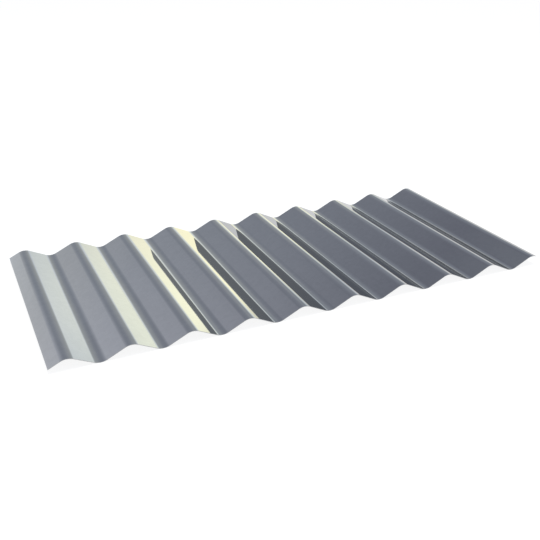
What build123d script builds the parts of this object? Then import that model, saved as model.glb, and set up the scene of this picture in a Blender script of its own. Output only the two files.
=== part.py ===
from build123d import *

import os
from math import asin, atan2, cos, degrees, hypot, radians, sin

# A corrugated roofing and siding sheet: one flat strip of galvanised steel, slit to width and then rolled
# into round bends joined by straight flanks. It lies flat, with its crests and valleys running along Y.
# The origin is under the middle of the sheet, on the surface that its valleys rest on. Lengths are in
# millimetres.

# The corrugation is the common one of 2 2/3 by 1/2 inch, so the sheet laps with its neighbours. Its depth is
# measured from crest to valley on one face, so the sheet stands one thickness higher than that.
PITCH = 67.733
DEPTH = 12.7
THICKNESS = 0.6
INSIDE_BEND_RADIUS = 16.2

# What was cut and slit. Both laps are measured along the steel, from the top of the outermost crest:
# the left edge stops part of the way down its flank, and the right edge just past its crest.
CREST_COUNT = 10
LENGTH = 300.0
LEFT_LAP = 21.3
RIGHT_LAP = 6.0

# The bends and flanks are drawn on the middle of the steel's thickness.
MID_BEND_RADIUS = INSIDE_BEND_RADIUS + THICKNESS / 2


def flank_angle():
    """Slope of the straight flank that meets the bends of a valley and of the next crest without a kink."""
    across = PITCH / 2
    below = 2 * MID_BEND_RADIUS - DEPTH
    return degrees(asin(2 * MID_BEND_RADIUS / hypot(across, below)) - atan2(below, across))


def flank_length(angle):
    """Length of straight steel between two bends."""
    bends_take = 2 * MID_BEND_RADIUS * sin(radians(angle))
    return (PITCH / 2 - bends_take) / cos(radians(angle))


def wave_line():
    """Middle line of all the waves, from the bottom of a valley before the first crest to one after the last."""
    angle = flank_angle()
    flank = flank_length(angle)
    line = [JernArc((0, 0), (1, 0), MID_BEND_RADIUS, angle)]
    for crest in range(CREST_COUNT):
        last_crest = crest == CREST_COUNT - 1
        valley_turn = angle if last_crest else 2 * angle
        for turn in (-2 * angle, valley_turn):
            straight = Line(line[-1] @ 1, line[-1] @ 1 + flank * (line[-1] % 1))
            bend = JernArc(straight @ 1, straight % 1, MID_BEND_RADIUS, turn)
            line += [straight, bend]
    return Wire(line)


def strip_line():
    """The part of the wave line that the slit strip covers."""
    waves = wave_line()
    valley_to_crest = waves.length / (2 * CREST_COUNT)
    left_edge = valley_to_crest - LEFT_LAP
    right_edge = waves.length - valley_to_crest + RIGHT_LAP
    return waves.trim(left_edge / waves.length, right_edge / waves.length)


def sheet_section():
    """The strip's cross-section: the same thickness all along its line, with square slit edges."""
    return trace(strip_line(), line_width=THICKNESS)


def corrugated_sheet():
    """The whole sheet, centred over the origin and resting on the undersides of its valleys."""
    sheet = extrude(Plane.XZ * sheet_section(), LENGTH)
    box = sheet.bounding_box()
    return Pos(-box.center().X, -box.center().Y, -box.min.Z) * sheet


os.makedirs("parts", exist_ok=True)
sheet = corrugated_sheet()
sheet.label = "corrugated_sheet"
export_step(sheet, "parts/corrugated_sheet.step")
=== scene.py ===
# %% [markdown]
# # A corrugated metal sheet
#
# The real object is one strip of galvanised steel that a row of rollers bent into waves. It lies on a pale
# floor under soft studio light. This lesson loads its measured model as a fixed frame, then builds the sheet
# again with a finer mesh, because polished metal shows every flat facet of a coarse one. After that come the
# zinc finish, the floor, the light and the camera.

# %% Load the frame
import bmesh
import bpy
from math import asin, atan2, cos, degrees, hypot, pi, radians, sin
from mathutils import Matrix, Vector


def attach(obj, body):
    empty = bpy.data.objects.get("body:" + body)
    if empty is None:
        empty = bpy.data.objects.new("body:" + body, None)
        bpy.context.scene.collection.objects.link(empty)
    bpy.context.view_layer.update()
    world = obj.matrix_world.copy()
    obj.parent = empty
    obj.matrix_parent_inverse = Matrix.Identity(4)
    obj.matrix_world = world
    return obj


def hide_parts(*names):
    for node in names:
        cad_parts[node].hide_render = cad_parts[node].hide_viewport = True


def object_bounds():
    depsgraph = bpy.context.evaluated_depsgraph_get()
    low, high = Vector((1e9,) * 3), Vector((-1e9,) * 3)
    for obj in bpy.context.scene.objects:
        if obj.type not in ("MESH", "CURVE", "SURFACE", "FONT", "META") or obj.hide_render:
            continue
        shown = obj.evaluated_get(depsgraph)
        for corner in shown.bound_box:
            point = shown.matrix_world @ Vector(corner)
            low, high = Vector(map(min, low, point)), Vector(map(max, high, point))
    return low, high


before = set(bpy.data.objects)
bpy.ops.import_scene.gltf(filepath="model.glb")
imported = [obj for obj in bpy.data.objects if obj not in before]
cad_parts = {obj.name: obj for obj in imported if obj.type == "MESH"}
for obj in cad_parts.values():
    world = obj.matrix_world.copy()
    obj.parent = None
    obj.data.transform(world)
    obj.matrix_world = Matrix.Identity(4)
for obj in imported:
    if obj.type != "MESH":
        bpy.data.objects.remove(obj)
cad_low, cad_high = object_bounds()
print("Nodes in the frame:", sorted(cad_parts))
print("Frame box in mm:", [round(1000 * side, 1) for side in cad_high - cad_low])

# %% [markdown]
# ## The sizes of the waves
#
# Steel doesn't stretch much when it is rolled, so a corrugation is only two things: bends of one radius, and
# straight flanks between them. Three sizes fix the rest. A flank has to leave one bend and meet the next
# without a kink, and only one slope does that for a given pitch, depth and radius. The slope could be read
# off the frame's mesh, but worked out from the sizes it is exact. The depth is taken from crest to valley on
# one face, so it is also the depth of the line along the middle of the steel. Each lap is measured along the
# steel, from the top of the outermost crest to the slit edge.

# %% Sizes, in metres
MM = 0.001
PITCH = 67.733 * MM
DEPTH = 12.7 * MM
THICKNESS = 0.6 * MM
INSIDE_BEND_RADIUS = 16.2 * MM
CREST_COUNT = 10
LEFT_LAP = 21.3 * MM
RIGHT_LAP = 6.0 * MM
LENGTH = cad_high.y - cad_low.y

mid_radius = INSIDE_BEND_RADIUS + THICKNESS / 2
drop = 2 * mid_radius - DEPTH
slope = asin(2 * mid_radius / hypot(PITCH / 2, drop)) - atan2(drop, PITCH / 2)
flank = (PITCH / 2 - 2 * mid_radius * sin(slope)) / cos(slope)
print(f"Flanks slope {degrees(slope):.2f} degrees and are {flank / MM:.2f} mm long")

# %% [markdown]
# ## Rolling the sheet
#
# The mesh is made the way the rollers make the sheet, a strip at a time from left to right. It starts as
# one edge along the flutes. `extrude_edge_only` pushes that edge along a straight flank, and `spin` carries
# it round a bend. An array of copied waves would also do, but its seams have to be merged, and the two side
# edges of a real sheet stop at different places in their waves, which a sweep gives for nothing.

# %% Sweep helpers
BEND_STEPS = 20
FLANK_STEPS = 4
UNDER, OVER = 1, -1


def last_edge(geometry):
    """The edge that a sweep ends on."""
    return next(item for item in geometry if isinstance(item, bmesh.types.BMEdge))


def sweep_flank(mesh, edge, heading, length):
    """Push the edge straight on, in a few equal steps, along its heading."""
    step = Vector((cos(heading), 0, sin(heading))) * length / FLANK_STEPS
    for _ in range(FLANK_STEPS):
        grown = bmesh.ops.extrude_edge_only(mesh, edges=[edge])["geom"]
        corners = [item for item in grown if isinstance(item, bmesh.types.BMVert)]
        bmesh.ops.translate(mesh, verts=corners, vec=step)
        edge = last_edge(grown)
    return edge


def sweep_bend(mesh, edge, heading, turn, side):
    """Carry the edge round a bend, whose centre is UNDER the steel at a crest and OVER it in a valley."""
    towards_centre = Vector((sin(heading), 0, -cos(heading))) * side
    centre = edge.verts[0].co + towards_centre * mid_radius
    swept = bmesh.ops.spin(mesh, geom=[*edge.verts, edge], cent=centre, axis=(0, 1, 0),
                           angle=turn * side, steps=BEND_STEPS)
    return last_edge(swept["geom_last"])


# %% Sweep the middle of the steel from its left edge to its right edge
rolled = bmesh.new()
near = rolled.verts.new((0, -LENGTH / 2, 0))
far = rolled.verts.new((0, LENGTH / 2, 0))
edge = rolled.edges.new((near, far))

edge = sweep_flank(rolled, edge, slope, LEFT_LAP - mid_radius * slope)
for _ in range(CREST_COUNT - 1):
    edge = sweep_bend(rolled, edge, slope, 2 * slope, UNDER)
    edge = sweep_flank(rolled, edge, -slope, flank)
    edge = sweep_bend(rolled, edge, -slope, 2 * slope, OVER)
    edge = sweep_flank(rolled, edge, slope, flank)
edge = sweep_bend(rolled, edge, slope, slope + RIGHT_LAP / mid_radius, UNDER)
print("Swept strips:", len(rolled.faces))

# %% [markdown]
# The sweep started at an arbitrary place, so the sheet is now moved to where the frame has it: centred over
# the origin, with its valleys on the floor. The move is made in the mesh and not on the object, so that
# patterns in the object's own coordinates stay put when the piece is exported.

# %% Make it an object, with its place in its mesh
bmesh.ops.recalc_face_normals(rolled, faces=rolled.faces)
if sum(face.normal.z for face in rolled.faces) < 0:
    bmesh.ops.reverse_faces(rolled, faces=rolled.faces)
for face in rolled.faces:
    face.smooth = True

heights = [corner.co.z for corner in rolled.verts]
across = [corner.co.x for corner in rolled.verts]
to_rest = Vector((-(min(across) + max(across)) / 2, 0, THICKNESS / 2 - min(heights)))
bmesh.ops.translate(rolled, verts=rolled.verts, vec=to_rest)
sheet_mesh = bpy.data.meshes.new("corrugated_steel")
rolled.to_mesh(sheet_mesh)
rolled.free()
sheet = bpy.data.objects.new("corrugated_steel", sheet_mesh)
bpy.context.scene.collection.objects.link(sheet)
print("Moved to rest, in mm:", [round(part / MM, 2) for part in to_rest])

# %% [markdown]
# ## Thickness and cut edges
#
# The steel is as thick as a few sheets of card. The Solidify modifier gives it that, half on each side of
# the swept surface, and puts the rim in a second material, because a sheared edge shows bare steel where
# the faces show zinc. Shears also leave the corners of the rim a little round, which a narrow Bevel shows
# as a thin glint. Weighted normals keep the wide faces flat beside that bevel.

# %% Solidify, bevel and weighted normals
EDGE_ROUNDING = 0.1 * MM
ROUNDING_STEPS = 2
SHARP_CORNER = radians(60)
RIM_SLOT = 1

solidify = sheet.modifiers.new("steel thickness", "SOLIDIFY")
solidify.thickness = THICKNESS
solidify.offset = 0
solidify.use_even_offset = True
solidify.material_offset_rim = RIM_SLOT

bevel = sheet.modifiers.new("sheared corners", "BEVEL")
bevel.width = EDGE_ROUNDING
bevel.segments = ROUNDING_STEPS
bevel.limit_method = "ANGLE"
bevel.angle_limit = SHARP_CORNER

weighted = sheet.modifiers.new("flat faces stay flat", "WEIGHTED_NORMAL")
weighted.mode = "FACE_AREA"

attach(sheet, "root")
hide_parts("corrugated_sheet")
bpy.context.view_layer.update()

# %% [markdown]
# ## Wiring nodes
#
# Materials and the world are trees of nodes, and a tree drawn by hand in the editor is a row of the same few
# gestures: add a node, fill in its sockets, join it to the last one. Two small helpers make each gesture one
# call, so that a tree reads like a sum. A Mix node has a set of sockets for each kind of data, so the numbers
# of those for colours get names.

# %% Helpers that wire nodes together
MIX_FACTOR, MIX_A, MIX_B, MIX_RESULT = 0, 6, 7, 2


def add_node(tree, kind, inputs=None, **settings):
    """Add a node, set its properties, and fill its sockets with values or with other nodes' outputs."""
    node = tree.nodes.new(kind)
    for name, value in settings.items():
        setattr(node, name, value)
    for socket, value in (inputs or {}).items():
        if isinstance(value, bpy.types.NodeSocket):
            tree.links.new(value, node.inputs[socket])
        else:
            node.inputs[socket].default_value = value
    return node


def calculate(tree, operation, *values):
    """The output of a Math node that works on numbers or on other nodes' outputs."""
    return add_node(tree, "ShaderNodeMath", dict(enumerate(values)), operation=operation).outputs[0]


def empty_tree(owner):
    """The node tree of a new material or world, with nothing in it."""
    owner.use_nodes = True
    owner.node_tree.nodes.clear()
    return owner.node_tree


# %% [markdown]
# ## The zinc finish
#
# Hot-dip zinc is a smooth, mid-grey metal. Close up it isn't even: it froze in crystals a few millimetres
# across, called spangle, and the rollers left faint streaks along the flutes. Both are far too slight to be
# modelled, and an image texture would tie the finish to one sheet. So they are made by noise in the object's
# own coordinates, in one node group that the faces and the cut edge both use with their own values.

# %% The rolled zinc group
ALONG_THE_FLUTES = (1.0, 0.01, 0.3)
CLOUDS_PER_METRE = 14.0
RIPPLES_PER_METRE = 28.0


def rolled_zinc_group():
    """Masks from 0 to 1 for spangle, roll streaks and slow unevenness, and a height for the bump."""
    group = bpy.data.node_groups.new("rolled zinc", "ShaderNodeTree")
    socket = group.interface.new_socket
    socket("Position", in_out="INPUT", socket_type="NodeSocketVector")
    socket("Spangle Size", in_out="INPUT", socket_type="NodeSocketFloat")
    socket("Streak Width", in_out="INPUT", socket_type="NodeSocketFloat")
    for name in ("Spangle", "Streaks", "Clouding", "Height"):
        socket(name, in_out="OUTPUT", socket_type="NodeSocketFloat")
    given = group.nodes.new("NodeGroupInput").outputs
    out = group.nodes.new("NodeGroupOutput")

    spangle_scale = calculate(group, "DIVIDE", 1.0, given["Spangle Size"])
    crystals = add_node(group, "ShaderNodeTexVoronoi",
                        {"Vector": given["Position"], "Scale": spangle_scale},
                        voronoi_dimensions="3D", feature="F1")
    crystal = add_node(group, "ShaderNodeSeparateColor", {0: crystals.outputs["Color"]})

    streak_scale = calculate(group, "DIVIDE", 1.0, given["Streak Width"])
    drawn_out = add_node(group, "ShaderNodeVectorMath", {0: given["Position"], 1: ALONG_THE_FLUTES},
                         operation="MULTIPLY")
    streaks = add_node(group, "ShaderNodeTexNoise",
                       {"Vector": drawn_out.outputs[0], "Scale": streak_scale, "Detail": 3.0,
                        "Roughness": 0.6})

    clouds = add_node(group, "ShaderNodeTexNoise",
                      {"Vector": given["Position"], "Scale": CLOUDS_PER_METRE, "Detail": 3.0,
                       "Roughness": 0.5})
    ripples = add_node(group, "ShaderNodeTexNoise",
                       {"Vector": given["Position"], "Scale": RIPPLES_PER_METRE, "Detail": 1.0,
                        "Roughness": 0.4})

    group.links.new(crystal.outputs["Red"], out.inputs["Spangle"])
    group.links.new(streaks.outputs["Fac"], out.inputs["Streaks"])
    group.links.new(clouds.outputs["Fac"], out.inputs["Clouding"])
    group.links.new(ripples.outputs["Fac"], out.inputs["Height"])
    return group


rolled_zinc = rolled_zinc_group()
print("Rolled zinc group:", len(rolled_zinc.nodes), "nodes")

# %% [markdown]
# The three masks are averaged into one tone, which blends a darker metal with a lighter one and a smoother
# face with a duller one. The two ends of each blend lie close together, because the sheet looks even from a
# metre away. The faces are nearly as smooth as a mirror. The sheared edge is torn steel, so it is dull, and
# its grain is finer.

# %% Finishes made from the group
EDGE_TINT = (0.75, 0.75, 0.75, 1)


def metal_finish(name, darker, lighter, roughness, spangle_size, streak_width, bump_height):
    """A metal whose colour and gloss vary a little with the zinc's crystals, streaks and clouding."""
    finish = bpy.data.materials.new(name)
    tree = empty_tree(finish)
    place = add_node(tree, "ShaderNodeTexCoord")
    zinc = add_node(tree, "ShaderNodeGroup", node_tree=rolled_zinc)
    tree.links.new(place.outputs["Object"], zinc.inputs["Position"])
    zinc.inputs["Spangle Size"].default_value = spangle_size
    zinc.inputs["Streak Width"].default_value = streak_width

    masks = [zinc.outputs[mask] for mask in ("Spangle", "Streaks", "Clouding")]
    total = calculate(tree, "ADD", calculate(tree, "ADD", masks[0], masks[1]), masks[2])
    tone = calculate(tree, "DIVIDE", total, len(masks))
    colour = add_node(tree, "ShaderNodeMix",
                      {MIX_FACTOR: tone, MIX_A: (*darker, 1), MIX_B: (*lighter, 1)}, data_type="RGBA")

    smoothest, dullest = roughness
    gloss = add_node(tree, "ShaderNodeMapRange", {"Value": tone, "To Min": smoothest, "To Max": dullest})
    bump = add_node(tree, "ShaderNodeBump", {"Strength": 1.0, "Distance": bump_height,
                                             "Height": zinc.outputs["Height"]})
    metal = add_node(tree, "ShaderNodeBsdfPrincipled",
                     {"Base Color": colour.outputs[MIX_RESULT], "Roughness": gloss.outputs[0],
                      "Normal": bump.outputs[0], "Metallic": 1.0, "Specular Tint": EDGE_TINT})
    add_node(tree, "ShaderNodeOutputMaterial", {"Surface": metal.outputs[0]})
    print(name, "has", len(tree.nodes), "nodes")
    return finish


zinc_face = metal_finish("galvanised zinc", darker=(0.43, 0.445, 0.45), lighter=(0.49, 0.505, 0.51),
                         roughness=(0.03, 0.05), spangle_size=5 * MM, streak_width=1.5 * MM,
                         bump_height=0.01 * MM)
cut_edge = metal_finish("sheared steel edge", darker=(0.36, 0.36, 0.36), lighter=(0.52, 0.52, 0.52),
                        roughness=(0.25, 0.45), spangle_size=1 * MM, streak_width=0.3 * MM,
                        bump_height=0.02 * MM)
sheet_mesh.materials.append(zinc_face)
sheet_mesh.materials.append(cut_edge)

# %% [markdown]
# ## The floor
#
# The sheet lies on a plain white floor. The floor's colour alone would need very strong light to look white
# in the picture, and that light would spoil the metal. So most of its white is its own glow, shown only to
# the camera and in reflections, and the rest is a matt surface that keeps the sheet's soft shadow.

# %% Floor
FLOOR_HALF_WIDTH = 60.0
FLOOR_GLOW = 0.84
FLOOR_COLOUR = (0.24, 0.24, 0.24, 1)
WHITE = (1, 1, 1, 1)

flat = bmesh.new()
bmesh.ops.create_grid(flat, x_segments=1, y_segments=1, size=FLOOR_HALF_WIDTH)
floor_mesh = bpy.data.meshes.new("floor")
flat.to_mesh(floor_mesh)
flat.free()
floor = bpy.data.objects.new("floor", floor_mesh)
bpy.context.scene.collection.objects.link(floor)

white_floor = bpy.data.materials.new("white floor")
tree = empty_tree(white_floor)
ray = add_node(tree, "ShaderNodeLightPath").outputs
seen = calculate(tree, "MAXIMUM", ray["Is Camera Ray"], ray["Is Glossy Ray"])
seen = calculate(tree, "MAXIMUM", seen, ray["Is Transmission Ray"])
glow_level = calculate(tree, "MULTIPLY", seen, FLOOR_GLOW)
glow = add_node(tree, "ShaderNodeEmission", {"Color": WHITE, "Strength": glow_level})
matt = add_node(tree, "ShaderNodeBsdfDiffuse", {"Color": FLOOR_COLOUR})
both = add_node(tree, "ShaderNodeAddShader", {0: glow.outputs[0], 1: matt.outputs[0]})
add_node(tree, "ShaderNodeOutputMaterial", {"Surface": both.outputs[0]})
floor_mesh.materials.append(white_floor)
print("Floor, in m across:", 2 * FLOOR_HALF_WIDTH)

# %% [markdown]
# ## The light
#
# Metal has no colour of its own that light can wash over: what shows is the room, tinted and mirrored. The
# waves sweep that mirror up and down, so the room's brightness by height is most of the picture. A panorama
# of a studio would do it, but a blended ramp and four soft-edged patches say the same in numbers that can
# be read. The ramp is pale near the horizon, dim and cool half way up, and pale again at the ceiling. The
# wall on the left is near, so it is brighter, and so is the foot of the wall on the right. A pale curtain
# hangs a little to the right of straight ahead, and a low window beside it adds warm light. Bearings are
# taken from x over y, which is the same for opposite directions, so the sheet is lit as well from behind.

# %% Colours of the room, by height above the horizon in degrees
WALLS = (
    (0, (0.85, 0.80, 0.72)),
    (8, (0.80, 0.88, 1.00)),
    (14, (0.88, 0.96, 1.12)),
    (17, (0.62, 0.66, 0.71)),
    (20, (0.50, 0.53, 0.58)),
    (25, (0.43, 0.46, 0.53)),
    (34, (0.37, 0.39, 0.46)),
    (44, (0.26, 0.27, 0.33)),
    (54, (0.32, 0.34, 0.39)),
    (72, (0.95, 0.97, 1.00)),
)
STRAIGHT_UP = 90.0


def height_ramp(tree, height, stops):
    """Blends colours by the height above the horizon, and keeps those brighter than white."""
    peak = max(max(colour) for _, colour in stops)
    ramp = add_node(tree, "ShaderNodeValToRGB", {0: calculate(tree, "DIVIDE", height, STRAIGHT_UP)})
    marks = ramp.color_ramp.elements
    for number, (stop, colour) in enumerate(stops):
        mark = marks[number] if number < 2 else marks.new(stop / STRAIGHT_UP)
        mark.position = stop / STRAIGHT_UP
        mark.color = (*[part / peak for part in colour], 1)
    return add_node(tree, "ShaderNodeVectorMath", {0: ramp.outputs[0], "Scale": peak},
                    operation="SCALE").outputs[0]


# %% Patches, each edge fading from nothing at its first bearing or height to whole at its second
LEFT_WALL = {"left": (-90, -55), "right": (0, -40), "top": (60, 40)}
LEFT_WALL_GAIN = (2.25, 2.10, 2.00)
RIGHT_WALL = {"left": (35, 42), "right": (90, 60), "top": (24, 16)}
RIGHT_WALL_GAIN = (1.40, 1.30, 1.20)
CURTAIN = {"left": (0, 18), "right": (31, 24), "top": (34, 26)}
CURTAIN_GAIN = (1.22, 1.19, 1.12)
WINDOW = {"left": (14, 33), "right": (39, 33), "top": (19, 2)}
WINDOW_LIGHT = (1.40, 1.31, 0.70)


def fade(tree, value, nothing_at, whole_at):
    """A mask that goes smoothly from 0 to 1 between two values."""
    return add_node(tree, "ShaderNodeMapRange",
                    {"Value": value, "From Min": nothing_at, "From Max": whole_at},
                    interpolation_type="SMOOTHSTEP").outputs[0]


def patch(tree, bearing, height, left, right, top):
    """The mask of a patch of wall with soft edges, which reaches down to the horizon."""
    sides = calculate(tree, "MULTIPLY", fade(tree, bearing, *left), fade(tree, bearing, *right))
    return calculate(tree, "MULTIPLY", sides, fade(tree, height, *top))


def brighter_where(tree, colours, mask, gain):
    """Multiplies the colours by the gain of each channel, where the mask is 1."""
    tint = add_node(tree, "ShaderNodeMix", {MIX_FACTOR: mask, MIX_A: WHITE, MIX_B: (*gain, 1)},
                    data_type="RGBA")
    return add_node(tree, "ShaderNodeVectorMath", {0: colours, 1: tint.outputs[MIX_RESULT]},
                    operation="MULTIPLY").outputs[0]


# %% World
world = bpy.data.worlds.new("studio")
bpy.context.scene.world = world
tree = empty_tree(world)
direction = add_node(tree, "ShaderNodeTexCoord").outputs["Generated"]
part = add_node(tree, "ShaderNodeSeparateXYZ", {0: direction}).outputs
height = calculate(tree, "DEGREES", calculate(tree, "ARCSINE", part["Z"]))
sideways = calculate(tree, "DIVIDE", part["X"], part["Y"])
bearing = calculate(tree, "DEGREES", calculate(tree, "ARCTANGENT", sideways))

room = height_ramp(tree, height, WALLS)
room = brighter_where(tree, room, patch(tree, bearing, height, **LEFT_WALL), LEFT_WALL_GAIN)
room = brighter_where(tree, room, patch(tree, bearing, height, **RIGHT_WALL), RIGHT_WALL_GAIN)
room = brighter_where(tree, room, patch(tree, bearing, height, **CURTAIN), CURTAIN_GAIN)
window = add_node(tree, "ShaderNodeVectorMath",
                  {0: WINDOW_LIGHT, "Scale": patch(tree, bearing, height, **WINDOW)}, operation="SCALE")
lit_room = add_node(tree, "ShaderNodeVectorMath", {0: room, 1: window.outputs[0]}, operation="ADD")
sky = add_node(tree, "ShaderNodeBackground", {"Color": lit_room.outputs[0]})
add_node(tree, "ShaderNodeOutputWorld", {"Surface": sky.outputs[0]})
print("World nodes:", len(tree.nodes))

# %% [markdown]
# A round lamp hangs over the sheet. It lights the floor and gives the sheet its faint, soft shadow. A panel
# that the metal mirrors would do so too, but steel as smooth as this would show it as a burnt-out white bar
# along each flank that faces it. So the lamp is hidden from reflections, and the walls alone are mirrored.

# %% Overhead lamp
LAMP_HEIGHT = 2.0
LAMP_SIZE = 1.2
LAMP_POWER = 20.0

lamp_data = bpy.data.lights.new("soft overhead lamp", "AREA")
lamp_data.shape = "DISK"
lamp_data.size = LAMP_SIZE
lamp_data.energy = LAMP_POWER
lamp = bpy.data.objects.new("soft overhead lamp", lamp_data)
lamp.location = (0, 0, LAMP_HEIGHT)
lamp.visible_glossy = False
bpy.context.scene.collection.objects.link(lamp)
print(f"Lamp: {LAMP_POWER:.0f} W, {LAMP_HEIGHT:.1f} m up")

# %% [markdown]
# ## The camera
#
# The camera stands in front of the sheet's left end, about a metre from its middle, and looks down on it. Its
# place, its turn and its lens were fitted to the sheet's outline, so the waves fall where they should.

# %% Camera: its place in metres, its lens and film in millimetres, its shift in widths of the frame
CAMERA_PLACE = (-0.3774, -0.8271, 0.4195)
CAMERA_HEADING = radians(25.02)
CAMERA_LOOKS_DOWN = radians(25.29)
CAMERA_ROLL = radians(0.13)
LENS = 49.85
FILM_WIDTH = 36
FRAME_SHIFT = -0.01453

camera_data = bpy.data.cameras.new("camera")
camera_data.sensor_width = FILM_WIDTH
camera_data.lens = LENS
camera_data.shift_x = FRAME_SHIFT
camera = bpy.data.objects.new("camera", camera_data)
turned = Matrix.Rotation(-CAMERA_HEADING, 4, "Z")
lowered = Matrix.Rotation(pi / 2 - CAMERA_LOOKS_DOWN, 4, "X")
rolled_over = Matrix.Rotation(CAMERA_ROLL, 4, "Z")
camera.matrix_world = Matrix.Translation(CAMERA_PLACE) @ turned @ lowered @ rolled_over
bpy.context.scene.collection.objects.link(camera)
bpy.context.scene.camera = camera
bpy.context.scene.view_settings.view_transform = "Standard"
print(f"Camera: {Vector(CAMERA_PLACE).length:.2f} m from the middle of the sheet")

# %% [markdown]
# ## The frame's box
#
# The visual sheet has to keep the measured model's size, so the measured model's box is printed.

# %% Print the frame's box
print("CAD box:", list(cad_low), list(cad_high))
